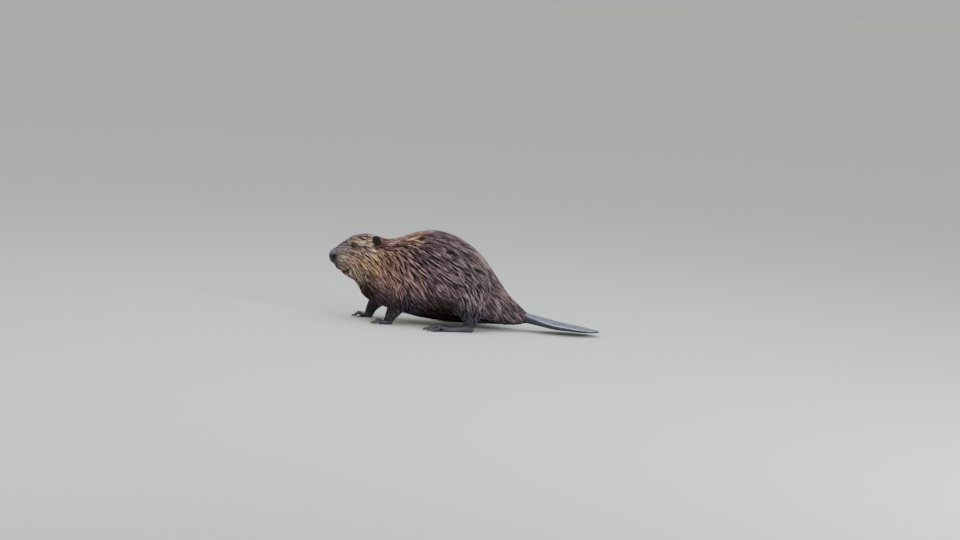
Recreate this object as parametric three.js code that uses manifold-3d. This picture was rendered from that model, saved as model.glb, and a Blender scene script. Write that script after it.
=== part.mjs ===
// A life-size beaver standing on all fours, back arched, head level and tail laid out behind.
// Millimetres, +Z up. The nose points along -X and the animal's left side faces -Y.
// Every outline here is the outside of the coat, out to the tips of the hair.
import * as THREE from "three";
import { mergeVertices } from "three/addons/utils/BufferGeometryUtils.js";
import Module from "manifold-3d";

const wasm = await Module();
wasm.setup();

// ---- Driving dimensions ----

const CLEARANCE = 0.35; // gap left between two neighbouring pieces
const BODY_SIDES = 22;
const LIMB_SIDES = 12;
const LIMB_RINGS = 9;
const SOLE_SIDES = 10;
const SOLE_RINGS = 4;
const TOE_SIDES = 5;
const TOE_RINGS = 3;
const CLAW_SIDES = 5;
const CLAW_RINGS = 3;
const BALL_SIDES = 10; // facets round an eye or an ear
const BAR_END = 0.55; // size of the last ring of a limb, toe or claw as a share of the ring before
const EYE_RADIUS = 9.2;
const TAIL_LENGTH = 262;
const TAIL_HALF_WIDTH = 66;
const TAIL_ROLL = { root: 1, tip: -4 }; // degrees that the left edge of the tail hangs lower

// Cross-sections of head, neck and trunk from the nose back. crest and keel are the highest and
// lowest point [x, z] of a section, half is half its width, waist says how far up from the keel it
// is widest, and round is its exponent: 2 is an ellipse, more is squarer.
const BODY = [
  { part: "nose front", crest: [-470, 217], keel: [-469, 199], half: 10, waist: 0.5, round: 2.2 },
  { part: "nose pad", crest: [-465, 227], keel: [-461, 188], half: 20, waist: 0.52, round: 2.4 },
  { part: "nostrils", crest: [-456, 234], keel: [-450, 177], half: 26, waist: 0.5, round: 2.5 },
  { part: "muzzle", crest: [-443, 246], keel: [-435, 162], half: 33, waist: 0.45, round: 2.6 },
  { part: "lips", crest: [-425, 261], keel: [-415, 147], half: 39, waist: 0.42, round: 2.6 },
  { part: "bridge", crest: [-402, 278], keel: [-398, 137], half: 44, waist: 0.42, round: 2.5 },
  { part: "eyes", crest: [-375, 290], keel: [-381, 130], half: 51, waist: 0.42, round: 2.4 },
  { part: "crown", crest: [-345, 294], keel: [-366, 112], half: 61, waist: 0.43, round: 2.3 },
  { part: "nape", crest: [-308, 287], keel: [-350, 84], half: 73, waist: 0.45, round: 2.2 },
  { part: "neck", crest: [-268, 281], keel: [-318, 63], half: 87, waist: 0.44, round: 2.1 },
  { part: "withers", crest: [-228, 293], keel: [-262, 46], half: 103, waist: 0.42, round: 2.1 },
  { part: "ribs", crest: [-182, 309], keel: [-200, 32], half: 119, waist: 0.4, round: 2.1 },
  { part: "back", crest: [-122, 320], keel: [-126, 21], half: 133, waist: 0.39, round: 2.1 },
  { part: "flank", crest: [-62, 311], keel: [-58, 17], half: 141, waist: 0.39, round: 2.1 },
  { part: "loin", crest: [0, 281], keel: [8, 16], half: 139, waist: 0.4, round: 2.1 },
  { part: "rump", crest: [50, 240], keel: [58, 17], half: 123, waist: 0.42, round: 2.1 },
  { part: "croup", crest: [91, 189], keel: [98, 18], half: 99, waist: 0.45, round: 2.1 },
  { part: "vent", crest: [128, 141], keel: [134, 18], half: 73, waist: 0.47, round: 2.1 },
  { part: "tail head", crest: [164, 102], keel: [168, 19], half: 52, waist: 0.5, round: 2.1 },
  { part: "tail root", crest: [203, 72], keel: [203, 24], half: 36, waist: 0.5, round: 2.1 },
];
const NOSE_STATIONS = 3; // the first of them, already close together
const NOSE_RINGS = 1; // rings to each section of the nose
const BODY_RINGS = 2; // and to each one behind it

// Where the long body is parted: a plane through the point [x, z], leaning back by so many degrees.
const NECK_CUT = { at: [-300, 250], lean: 25 };
const SHOULDER_CUT = { at: [-252, 236], lean: 16 };
const ROOT_CUT = { at: [112, 90], lean: 25 };

// Limbs for the left side. at is [x, distance from the middle plane, z], wide is the radius across
// the animal and deep the radius along it.
const FORE_LIMB = {
  left: [
    { at: [-212, 60, 186], wide: 26, deep: 44 },
    { at: [-208, 74, 146], wide: 38, deep: 60 },
    { at: [-204, 84, 98], wide: 38, deep: 50 },
    { at: [-218, 83, 62], wide: 27, deep: 32 },
    { at: [-234, 78, 34], wide: 19, deep: 21 },
    { at: [-243, 75, 13], wide: 16, deep: 16 },
  ],
  right: [
    { at: [-262, 58, 180], wide: 25, deep: 42 },
    { at: [-266, 70, 142], wide: 36, deep: 55 },
    { at: [-290, 82, 98], wide: 34, deep: 50 },
    { at: [-316, 78, 60], wide: 25, deep: 30 },
    { at: [-333, 71, 34], wide: 19, deep: 20 },
    { at: [-340, 68, 13], wide: 16, deep: 16 },
  ],
};
const HIND_LIMB = [
  { at: [32, 68, 200], wide: 26, deep: 50 },
  { at: [27, 87, 156], wide: 42, deep: 78 },
  { at: [31, 104, 110], wide: 43, deep: 69 },
  { at: [39, 116, 70], wide: 32, deep: 46 },
  { at: [41, 121, 37], wide: 21, deep: 27 },
  { at: [39, 121, 14], wide: 16, deep: 16 },
];
const HIND_RIGHT_STEP = -22; // how far ahead the right hind foot stands

// Feet, in their own frame: the heel at the origin, toes along -X, the inner side towards +Y.
const FORE_FOOT = {
  length: 37,
  halfWidth: 18,
  height: 20,
  turn: 4, // degrees that the toes point outwards
  toes: [
    // root and tip as [x, y], radius, height of the knuckle
    { root: [-15, 14], tip: [-29, 27], radius: 4, knuckle: 14 },
    { root: [-27, 10.5], tip: [-48, 21], radius: 4.5, knuckle: 20 },
    { root: [-30, 3.5], tip: [-55, 8], radius: 4.8, knuckle: 22.5 },
    { root: [-29, -5], tip: [-54, -8.5], radius: 4.7, knuckle: 22 },
    { root: [-25, -13], tip: [-45, -24], radius: 4.4, knuckle: 19 },
  ],
  clawLength: 12,
  clawRadius: 2.3,
};
const HIND_FOOT = {
  length: 92,
  halfWidth: 21,
  height: 26,
  turn: 7,
  toes: [
    { root: [-66, 18], tip: [-106, 36], radius: 5.2, knuckle: 19 },
    { root: [-77, 10], tip: [-131, 21], radius: 5.8, knuckle: 23 },
    { root: [-81, 1], tip: [-144, 2], radius: 6.1, knuckle: 25 },
    { root: [-79, -9], tip: [-142, -19], radius: 6.1, knuckle: 25 },
    { root: [-69, -17], tip: [-127, -38], radius: 5.8, knuckle: 22 },
  ],
  clawLength: 17,
  clawRadius: 3.1,
};
const WEB_BOTTOM = 1.5;
const WEB_TOP = 5;
const WEB_SCALLOP = 16; // how far its front edge is drawn back between two toes

const EAR = {
  base: [-303, 50, 265.5],
  radii: [18, 7, 18.5], // half its width, half its depth and half its height
  hollow: 0.8, // the cup's size as a share of the ear's
  face: 16, // degrees that the cup turns forwards
  // Degrees that the tip leans outwards and back: the right ear is folded down.
  splay: { left: 20, right: 112 },
  rake: { left: 16, right: 28 },
};
const EYE = [-378, 37, 250.6];

// The tail's sections along its length: share of the length, share of the full half width,
// thickness and height of its middle line.
const TAIL_START = 197;
const TAIL = [
  { along: 0, width: 0.42, thick: 42, height: 51 },
  { along: 0.12, width: 0.55, thick: 36, height: 43.6 },
  { along: 0.27, width: 0.82, thick: 31, height: 36 },
  { along: 0.44, width: 0.98, thick: 26, height: 27.7 },
  { along: 0.62, width: 1, thick: 21, height: 23.3 },
  { along: 0.79, width: 0.88, thick: 16, height: 19.2 },
  { along: 0.91, width: 0.61, thick: 12, height: 16.9 },
  { along: 0.975, width: 0.33, thick: 9, height: 17.3 },
  { along: 1, width: 0.1, thick: 5, height: 18 },
];
const TAIL_SIDES = 16;
const TAIL_RINGS = 2; // rings to each of those sections
// Height over a section's middle line as a share of half its thickness. The top is nearly flat
// between its rims and the underside is rounded like a hull.
const TAIL_RIM = 0.45;
const TAIL_CROWN = 0.72;

// ---- Materials ----

const material = (color, roughness) =>
  new THREE.MeshStandardMaterial({ color, roughness, metalness: 0 });
const FUR_HEAD = material(0x7a5f4b, 0.85);
const FUR_BODY = material(0x5b4339, 0.85);
const FUR_DARK = material(0x3a302d, 0.85);
const SKIN_FOOT = material(0x35333a, 0.6);
const SKIN_TAIL = material(0x5a5d6a, 0.5);
const EYE_GLOSS = material(0x140c0a, 0.08);
const CLAW_HORN = material(0x2a2523, 0.45);

// ---- Solids from geometry, and back ----

function solidOf(geometry) {
  const bare = geometry.clone();
  bare.deleteAttribute("normal");
  bare.deleteAttribute("uv");
  const merged = mergeVertices(bare, 1e-3);
  return new wasm.Manifold(
    new wasm.Mesh({
      numProp: 3,
      vertProperties: merged.attributes.position.array,
      triVerts: new Uint32Array(merged.index.array),
    }),
  );
}

function geometryOf(solid) {
  const mesh = solid.getMesh();
  const stride = mesh.numProp;
  const positions = new Float32Array(mesh.numVert * 3);
  for (let i = 0; i < mesh.numVert; i++)
    positions.set(mesh.vertProperties.subarray(i * stride, i * stride + 3), i * 3);
  const geometry = new THREE.BufferGeometry()
    .setAttribute("position", new THREE.BufferAttribute(positions, 3))
    .setIndex(new THREE.BufferAttribute(new Uint32Array(mesh.triVerts), 1));
  geometry.computeVertexNormals();
  return geometry;
}

const joined = (solids) => solids.reduce((whole, solid) => whole.add(solid));
const subtractAll = (solid, others) => others.reduce((rest, other) => rest.subtract(other), solid);

// A closed surface through rings of points, each end closed by a fan to the ring's middle.
function throughRings(rings) {
  const around = rings[0].length;
  const points = rings.flat();
  const faces = [];
  for (let ring = 0; ring < rings.length - 1; ring++)
    for (let k = 0; k < around; k++) {
      const a = ring * around + k;
      const b = ring * around + ((k + 1) % around);
      faces.push(a, b, b + around, a, b + around, a + around);
    }
  for (const [ring, forwards] of [[0, false], [rings.length - 1, true]]) {
    const middle = new THREE.Vector3();
    rings[ring].forEach((p) => middle.addScaledVector(p, 1 / around));
    const centre = points.push(middle) - 1;
    for (let k = 0; k < around; k++) {
      const a = ring * around + k;
      const b = ring * around + ((k + 1) % around);
      faces.push(...(forwards ? [a, b, centre] : [b, a, centre]));
    }
  }
  const geometry = new THREE.BufferGeometry().setFromPoints(points);
  geometry.setIndex(faces);
  const solid = solidOf(geometry);
  return solid.volume() > 0 ? solid : solidOf(turnedRound(geometry));
}

function turnedRound(geometry) {
  const index = Array.from(geometry.index.array);
  for (let i = 0; i < index.length; i += 3)
    [index[i + 1], index[i + 2]] = [index[i + 2], index[i + 1]];
  return geometry.clone().setIndex(index);
}

// Sine and cosine bent towards a rounded square by the exponent.
const bent = (value, round) => Math.sign(value) * Math.abs(value) ** (2 / round);

const curveThrough = (points) =>
  new THREE.CatmullRomCurve3(points.map((p) => new THREE.Vector3(...p)));

// ---- Head, neck and trunk ----

function bodySolid(grow) {
  const crests = curveThrough(BODY.map((s) => [s.crest[0], 0, s.crest[1]]));
  const keels = curveThrough(BODY.map((s) => [s.keel[0], 0, s.keel[1]]));
  const halves = curveThrough(BODY.map((s, i) => [i, s.half, 0]));
  const shapes = curveThrough(BODY.map((s, i) => [i, s.waist, s.round]));
  const last = BODY.length - 1;
  const steps = [];
  for (let i = 0; i < last; i++) {
    const rings = i < NOSE_STATIONS ? NOSE_RINGS : BODY_RINGS;
    for (let k = 0; k < rings; k++) steps.push((i + k / rings) / last);
  }
  steps.push(1);
  return throughRings(
    steps.map((t) => {
      const crest = crests.getPoint(t);
      const keel = keels.getPoint(t);
      const half = halves.getPoint(t).y + grow;
      const { y: waist, z: round } = shapes.getPoint(t);
      const middle = keel.clone().lerp(crest, waist);
      return Array.from({ length: BODY_SIDES }, (_, k) => {
        const angle = (2 * Math.PI * k) / BODY_SIDES;
        const rise = bent(Math.cos(angle), round);
        const towards = (rise > 0 ? crest : keel).clone().sub(middle);
        const reach = Math.abs(rise) * (1 + grow / towards.length());
        const point = middle.clone().addScaledVector(towards, reach);
        point.y = half * bent(Math.sin(angle), round);
        return point;
      });
    }),
  );
}

// ---- Limbs, toes and claws ----

// A round bar through stations, each a ring square to the way there, with the ends drawn in.
function barSolid(stations, sides, rings, grow = 0) {
  const path = curveThrough(stations.map((s) => s.at));
  const sizes = curveThrough(stations.map((s, i) => [i, s.wide, s.deep]));
  const steps = Array.from({ length: rings }, (_, i) => i / (rings - 1));
  const around = (t, shrink, push) => {
    const tangent = path.getTangent(t);
    const across = new THREE.Vector3(0, 1, 0).addScaledVector(tangent, -tangent.y).normalize();
    const along = new THREE.Vector3().crossVectors(tangent, across);
    const { y: wide, z: deep } = sizes.getPoint(t);
    const centre = path.getPoint(t).addScaledVector(tangent, push * (Math.min(wide, deep) + grow));
    return Array.from({ length: sides }, (_, k) => {
      const angle = (2 * Math.PI * k) / sides;
      return centre
        .clone()
        .addScaledVector(across, Math.cos(angle) * (wide + grow) * shrink)
        .addScaledVector(along, Math.sin(angle) * (deep + grow) * shrink);
    });
  };
  return throughRings([
    around(0, BAR_END, -0.5),
    ...steps.map((t) => around(t, 1, 0)),
    around(1, BAR_END, 0.5),
  ]);
}

// The half space above the floor, which gives every sole its small flat.
function aboveFloor(solid) {
  return solid.trimByPlane([0, 0, 1], 0);
}

function toeSolid({ root, tip, radius, knuckle }, grow = 0) {
  const between = (share) => root.map((v, i) => v + (tip[i] - v) * share);
  return barSolid(
    [
      { at: [...between(-0.3), radius * 1.5], wide: radius, deep: radius },
      { at: [...between(0.3), knuckle - radius], wide: radius * 1.02, deep: radius },
      { at: [...between(0.7), knuckle * 0.72 - radius / 2], wide: radius * 1.08, deep: radius },
      { at: [...between(1), radius * 0.78], wide: radius * 0.95, deep: radius * 0.9 },
    ],
    TOE_SIDES,
    TOE_RINGS,
    grow,
  );
}

function clawSolid({ root, tip, radius }, length, thick, grow = 0) {
  const heading = new THREE.Vector2(tip[0] - root[0], tip[1] - root[1]).normalize();
  const at = (reach, height) => [tip[0] + heading.x * reach, tip[1] + heading.y * reach, height];
  const rooted = radius * 0.2;
  return barSolid(
    [
      { at: at(-rooted, radius * 1.15), wide: thick * 0.85, deep: thick * 0.85 },
      { at: at(length * 0.25, radius * 1.4), wide: thick, deep: thick },
      { at: at(length * 0.65, radius * 1.1), wide: thick * 0.75, deep: thick * 0.8 },
      { at: at(length, thick * 0.55), wide: thick * 0.28, deep: thick * 0.32 },
    ],
    CLAW_SIDES,
    CLAW_RINGS,
    grow,
  );
}

// The palm or sole: a low wedge from the heel to the roots of the toes.
function solePad({ length, halfWidth, height }) {
  return barSolid(
    [
      { at: [4, 0, height * 0.34], wide: halfWidth * 0.62, deep: height * 0.36 },
      { at: [-length * 0.25, 0, height * 0.42], wide: halfWidth * 0.72, deep: height * 0.46 },
      { at: [-length * 0.6, 0, height * 0.34], wide: halfWidth * 0.9, deep: height * 0.38 },
      { at: [-length * 0.92, 0, height * 0.24], wide: halfWidth, deep: height * 0.28 },
    ],
    SOLE_SIDES,
    SOLE_RINGS,
  );
}

// The skin stretched between the hind toes, scalloped along its front edge.
function webSolid({ toes, halfWidth, length }) {
  const outline = new THREE.Shape();
  outline.moveTo(-length * 0.5, halfWidth * 0.8);
  toes.forEach(({ tip, root }, i) => {
    const reach = tip.map((v, axis) => v - (v - root[axis]) * 0.08);
    if (i === 0) {
      outline.lineTo(...reach);
      return;
    }
    const before = toes[i - 1].tip;
    const notch = [(before[0] + tip[0]) / 2 + WEB_SCALLOP, (before[1] + tip[1]) / 2];
    outline.quadraticCurveTo(...notch, ...reach);
  });
  outline.lineTo(-length * 0.5, -halfWidth * 0.8);
  const sheet = new THREE.ExtrudeGeometry(outline, {
    depth: WEB_TOP - WEB_BOTTOM,
    bevelEnabled: false,
    curveSegments: 3,
  });
  return solidOf(sheet.translate(0, 0, WEB_BOTTOM));
}

// Turns a foot about its heel, mirrors it for the left side, and stands it at [x, y].
function placedFoot(solid, { turn }, side, [x, y]) {
  const mirror = new THREE.Matrix4().makeScale(1, side < 0 ? 1 : -1, 1);
  const spin = new THREE.Matrix4().makeRotationZ(THREE.MathUtils.degToRad(-side * turn));
  const move = new THREE.Matrix4().makeTranslation(x, y, 0);
  const geometry = geometryOf(solid);
  const placed = move.multiply(spin).multiply(mirror);
  geometry.applyMatrix4(placed);
  return solidOf(placed.determinant() < 0 ? turnedRound(geometry) : geometry);
}

// One foot as its flesh and its claws, all apart by the clearance.
function foot(shape, side, heel, webbed) {
  const claws = shape.toes.map((toe) => clawSolid(toe, shape.clawLength, shape.clawRadius));
  const sockets = shape.toes.map((toe) =>
    clawSolid(toe, shape.clawLength, shape.clawRadius, CLEARANCE),
  );
  const flesh = joined([
    solePad(shape),
    ...shape.toes.map((toe) => toeSolid(toe)),
    ...(webbed ? [webSolid(shape)] : []),
  ]);
  const place = (solid) => placedFoot(aboveFloor(solid), shape, side, heel);
  return { flesh: place(subtractAll(flesh, sockets)), claws: claws.map(place) };
}

// ---- Tail ----

function tailSolid(grow = 0) {
  const line = curveThrough(TAIL.map((s) => [TAIL_START + TAIL_LENGTH * s.along, 0, s.height]));
  const sizes = curveThrough(TAIL.map((s, i) => [i, s.width * TAIL_HALF_WIDTH, s.thick / 2]));
  const steps = (TAIL.length - 1) * TAIL_RINGS;
  return throughRings(
    Array.from({ length: steps + 1 }, (_, i) => {
      const { y: half, z: thick } = sizes.getPoint(i / steps);
      const centre = line.getPoint(i / steps);
      const lean = THREE.MathUtils.lerp(TAIL_ROLL.root, TAIL_ROLL.tip, i / steps);
      const roll = new THREE.Matrix4().makeRotationX(THREE.MathUtils.degToRad(lean));
      return Array.from({ length: TAIL_SIDES }, (_, k) => {
        const angle = (2 * Math.PI * k) / TAIL_SIDES;
        const across = Math.cos(angle);
        const span = angle < Math.PI ? TAIL_CROWN - TAIL_RIM : 1 + TAIL_RIM;
        const rise = TAIL_RIM + span * Math.sin(angle);
        const out = new THREE.Vector3(0, across * (half + grow), rise * (thick + grow));
        return centre.clone().add(out.applyMatrix4(roll));
      });
    }),
  );
}

// ---- Ears and eyes ----

function ellipsoid(radii, at, turnAbout) {
  const geometry = new THREE.SphereGeometry(1, BALL_SIDES, BALL_SIDES * 0.7).scale(...radii);
  return solidOf(geometry.translate(...at).applyMatrix4(turnAbout));
}

// A rounded cup, thin at the rim, standing on the side of the head.
function earSolid(side, splay, rake) {
  const { degToRad } = THREE.MathUtils;
  const turn = new THREE.Matrix4().makeTranslation(EAR.base[0], side * EAR.base[1], EAR.base[2]);
  turn.multiply(new THREE.Matrix4().makeRotationX(degToRad(-side * splay)));
  turn.multiply(new THREE.Matrix4().makeRotationY(degToRad(rake)));
  turn.multiply(new THREE.Matrix4().makeRotationZ(degToRad(side * EAR.face)));
  const [wide, deep, high] = EAR.radii;
  const shell = ellipsoid(EAR.radii, [0, 0, high * 0.55], turn);
  const hollow = EAR.radii.map((r) => r * EAR.hollow);
  const cup = ellipsoid(hollow, [-wide * 0.12, side * deep * 0.82, high * 0.68], turn);
  return shell.subtract(cup);
}

function eyeSolid(side, grow = 0) {
  const at = new THREE.Matrix4().makeTranslation(EYE[0], side * EYE[1], EYE[2]);
  return ellipsoid([1, 1, 1].map(() => EYE_RADIUS + grow), [0, 0, 0], at);
}

// ---- Parting the body ----

// The side of a leaning plane that lies towards the tail, or towards the nose.
function partedAt(solid, { at, lean }, towardsTail) {
  const angle = THREE.MathUtils.degToRad(lean);
  const sign = towardsTail ? 1 : -1;
  const normal = [sign * Math.cos(angle), 0, -sign * Math.sin(angle)];
  const offset = normal[0] * at[0] + normal[2] * at[1] + CLEARANCE / 2;
  return solid.trimByPlane(normal, offset);
}

const mirroredStations = (stations, side, step = 0) =>
  stations.map((s) => ({ ...s, at: [s.at[0] + step, side * s.at[1], s.at[2]] }));

// ---- Assembly ----

const beaver = new THREE.Group();

// Each mesh turns about its own middle, and keeps its place in the group.
function addPiece(name, solid, finish) {
  const geometry = geometryOf(solid);
  geometry.computeBoundingBox();
  const middle = geometry.boundingBox.getCenter(new THREE.Vector3());
  geometry.translate(-middle.x, -middle.y, -middle.z);
  const mesh = new THREE.Mesh(geometry, finish);
  mesh.name = name;
  mesh.position.copy(middle);
  beaver.add(mesh);
}

const SIDES = [
  { name: "left", sign: -1 },
  { name: "right", sign: 1 },
];

const limbs = SIDES.flatMap(({ name, sign }) => [
  {
    name: `fore_leg_${name}`,
    foot: `fore_foot_${name}`,
    sign,
    stations: mirroredStations(FORE_LIMB[name], sign),
    shape: FORE_FOOT,
    webbed: false,
  },
  {
    name: `hind_leg_${name}`,
    foot: `hind_foot_${name}`,
    sign,
    stations: mirroredStations(HIND_LIMB, sign, sign > 0 ? HIND_RIGHT_STEP : 0),
    shape: HIND_FOOT,
    webbed: true,
  },
]);

const sockets = [];
for (const limb of limbs) {
  const ankle = limb.stations.at(-1).at;
  const heel = [ankle[0] + limb.shape.halfWidth * 0.3, ankle[1]];
  const { flesh, claws } = foot(limb.shape, limb.sign, heel, limb.webbed);
  const leg = aboveFloor(barSolid(limb.stations, LIMB_SIDES, LIMB_RINGS));
  sockets.push(barSolid(limb.stations, LIMB_SIDES, LIMB_RINGS, CLEARANCE).add(leg));
  const upper = leg.trimByPlane([0, 0, 1], limb.shape.height + CLEARANCE);
  const lower = flesh.add(leg).trimByPlane([0, 0, -1], -limb.shape.height);
  addPiece(limb.name, upper, FUR_DARK);
  addPiece(limb.foot, lower, SKIN_FOOT);
  claws.forEach((claw, i) => addPiece(`${limb.foot}_claw_${i + 1}`, claw, CLAW_HORN));
}

const body = bodySolid(0);
const grownBody = bodySolid(CLEARANCE);
const eyeSockets = SIDES.map(({ sign }) => eyeSolid(sign, CLEARANCE));
const flesh = subtractAll(body, [...sockets, tailSolid(CLEARANCE), ...eyeSockets]);
const behindNeckCut = partedAt(flesh, NECK_CUT, true);
const behindShoulderCut = partedAt(flesh, SHOULDER_CUT, true);
addPiece("head", partedAt(flesh, NECK_CUT, false), FUR_HEAD);
addPiece("neck", partedAt(behindNeckCut, SHOULDER_CUT, false), FUR_BODY);
addPiece("trunk", partedAt(behindShoulderCut, ROOT_CUT, false), FUR_BODY);
addPiece("tail_root", partedAt(behindShoulderCut, ROOT_CUT, true), FUR_BODY);
addPiece("tail", aboveFloor(tailSolid()), SKIN_TAIL);
for (const { name, sign } of SIDES) {
  const ear = earSolid(sign, EAR.splay[name], EAR.rake[name]);
  addPiece(`ear_${name}`, ear.subtract(grownBody), FUR_DARK);
  addPiece(`eye_${name}`, eyeSolid(sign), EYE_GLOSS);
}

// The part's origin is on the floor, under the middle of the whole animal.
beaver.updateMatrixWorld(true);
const box = new THREE.Box3().setFromObject(beaver);
const middle = box.getCenter(new THREE.Vector3());
beaver.position.set(-middle.x, -middle.y, -box.min.z);
const part = new THREE.Group().add(beaver);

export default part;
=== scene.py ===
"""A life-size beaver on all fours: skin, damp coat, eyes, claws, whiskers and scaly tail round its CAD frame.

Sculpting is done in body millimetres: the nose tip at x = NOSE_X, +y the right side, +z up."""
import math

import bmesh
import bpy
import numpy as np
from mathutils import Matrix, Vector
from mathutils.bvhtree import BVHTree
from mathutils.kdtree import KDTree


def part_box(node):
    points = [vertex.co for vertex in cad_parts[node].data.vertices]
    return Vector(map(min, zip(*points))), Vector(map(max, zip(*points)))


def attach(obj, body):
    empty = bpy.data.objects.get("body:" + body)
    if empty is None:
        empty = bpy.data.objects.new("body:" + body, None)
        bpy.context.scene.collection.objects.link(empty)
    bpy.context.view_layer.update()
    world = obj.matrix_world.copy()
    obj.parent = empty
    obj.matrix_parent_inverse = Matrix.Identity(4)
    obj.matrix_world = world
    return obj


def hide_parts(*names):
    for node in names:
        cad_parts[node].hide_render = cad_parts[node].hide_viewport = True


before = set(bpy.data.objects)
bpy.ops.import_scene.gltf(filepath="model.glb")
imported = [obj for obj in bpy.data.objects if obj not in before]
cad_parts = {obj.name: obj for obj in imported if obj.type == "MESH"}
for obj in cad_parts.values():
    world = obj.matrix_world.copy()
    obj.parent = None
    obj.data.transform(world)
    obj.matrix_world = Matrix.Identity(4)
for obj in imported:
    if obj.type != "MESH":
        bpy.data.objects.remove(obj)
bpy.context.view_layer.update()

SIDES = {"left": -1, "right": 1}
NOSE_X = -470.0
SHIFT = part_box("head")[0].x * 1000 - NOSE_X  # body millimetres to the frame's
rng = np.random.default_rng(7)


def linear(hex_colour):
    """An sRGB hex colour as linear RGBA."""
    parts = [int(hex_colour[i:i + 2], 16) / 255 for i in (1, 3, 5)]
    return tuple(c / 12.92 if c <= 0.04045 else ((c + 0.055) / 1.055) ** 2.4 for c in parts) + (1.0,)


def to_frame(points):
    """Body millimetres to metres in the frame."""
    return (np.asarray(points, float) + [SHIFT, 0, 0]) / 1000


def to_body(points):
    return np.asarray(points, float) * 1000 - [SHIFT, 0, 0]


def soft_step(value, low, high):
    share = np.clip((value - low) / (high - low), 0, 1)
    return share * share * (3 - 2 * share)


def reach_from(points, centre, radii):
    """Each point's distance from a centre, 1 on the ellipsoid of those radii."""
    return np.sqrt((((points - centre) / radii) ** 2).sum(1))


def near(points, centre, radii):
    """1 at a centre, falling to 0 at the ellipsoid of those radii. The two sides are alike."""
    return 1 - soft_step(reach_from(mirrored(points), centre, radii), 0, 1)


def mirrored(points):
    return np.abs(points * [0, 1, 0]) + points * [1, 0, 1]


def unit(vectors):
    return vectors / np.maximum(np.linalg.norm(vectors, axis=1, keepdims=True), 1e-9)


def in_plane(vectors, normals):
    """The part of each vector that lies along the surface, as a unit vector."""
    return unit(vectors - normals * (vectors * normals).sum(1, keepdims=True))


# ---- Camera, light and floor ----

AIM = Vector((-0.0275, 0, 0))  # the spot on the floor that the view is measured from
AIM_PIXEL = (453.9, 326.2)
FRAME_PIXELS = (960, 540)
FOCAL_MM = 90.0
SENSOR_MM = 36.0
DISTANCE = 8.04
AZIMUTH = math.radians(10)
ELEVATION = math.radians(8)
ROLL = math.radians(3)


def make_camera():
    """A long lens from a little behind the left side, rolled by the slope that the animal stood on."""
    focal_pixels = FOCAL_MM / SENSOR_MM * FRAME_PIXELS[0]
    towards = Vector((
        math.sin(AZIMUTH) * math.cos(ELEVATION),
        -math.cos(AZIMUTH) * math.cos(ELEVATION),
        math.sin(ELEVATION),
    ))
    x = AIM_PIXEL[0] - FRAME_PIXELS[0] / 2
    y = AIM_PIXEL[1] - FRAME_PIXELS[1] / 2
    level = (x * math.cos(ROLL) + y * math.sin(ROLL), -x * math.sin(ROLL) + y * math.cos(ROLL))
    pitch = ELEVATION - math.atan(level[1] / focal_pixels)
    yaw = AZIMUTH + math.atan(level[0] / focal_pixels)
    back = Vector((math.sin(yaw) * math.cos(pitch), -math.cos(yaw) * math.cos(pitch), math.sin(pitch)))
    right = Vector((math.cos(yaw), math.sin(yaw), 0))
    up = back.cross(right)
    camera = linked("camera", bpy.data.cameras.new("camera"))
    camera.data.lens = FOCAL_MM
    camera.data.sensor_width = SENSOR_MM
    camera.data.clip_end = 500
    turn = Matrix((
        right * math.cos(ROLL) + up * math.sin(ROLL),
        up * math.cos(ROLL) - right * math.sin(ROLL),
        back,
    )).transposed().to_4x4()
    camera.matrix_world = Matrix.Translation(AIM + towards * DISTANCE) @ turn
    bpy.context.scene.camera = camera


def add(tree, kind, sockets=None, out=0, **settings):
    """Adds a shader node and returns one of its outputs. A socket takes a node's output or a plain value."""
    made = tree.nodes.new("ShaderNode" + kind)
    for name, value in settings.items():
        setattr(made, name, value)
    for key, value in (sockets or {}).items():
        if isinstance(value, bpy.types.NodeSocket):
            tree.links.new(value, made.inputs[key])
        else:
            made.inputs[key].default_value = value
    return made.outputs[out] if made.outputs else None


RGBA = {"data_type": "RGBA", "out": 2}  # makes a Mix node mix colours


def new_material(name):
    material = bpy.data.materials.new(name)
    material.use_nodes = True
    material.node_tree.nodes.clear()
    return material, material.node_tree


def finished(material, settings):
    tree = material.node_tree
    add(tree, "OutputMaterial", {"Surface": add(tree, "BsdfPrincipled", settings)})
    return material


def attributes(tree, *names):
    """A mesh's attributes of those names, as node outputs."""
    return [add(tree, "Attribute", out="Fac", attribute_name=name) for name in names]


FLOOR_REACH = 300.0
SKY_LEVELS = (0.62, 1.25)  # strength of the sky just above the horizon and overhead
LIGHTS = (  # name, place, size in metres, watts and colour; all of them are aimed at the animal
    ("overhead", (0.1, -0.5, 3.0), 3.2, 72, "#eef3ff"),
    ("front fill", (-1.6, -3.2, 1.6), 2.0, 26, "#fff6ec"),
    ("window", (3.0, -2.55, 1.45), 1.1, 105, "#ffffff"),
)


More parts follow.
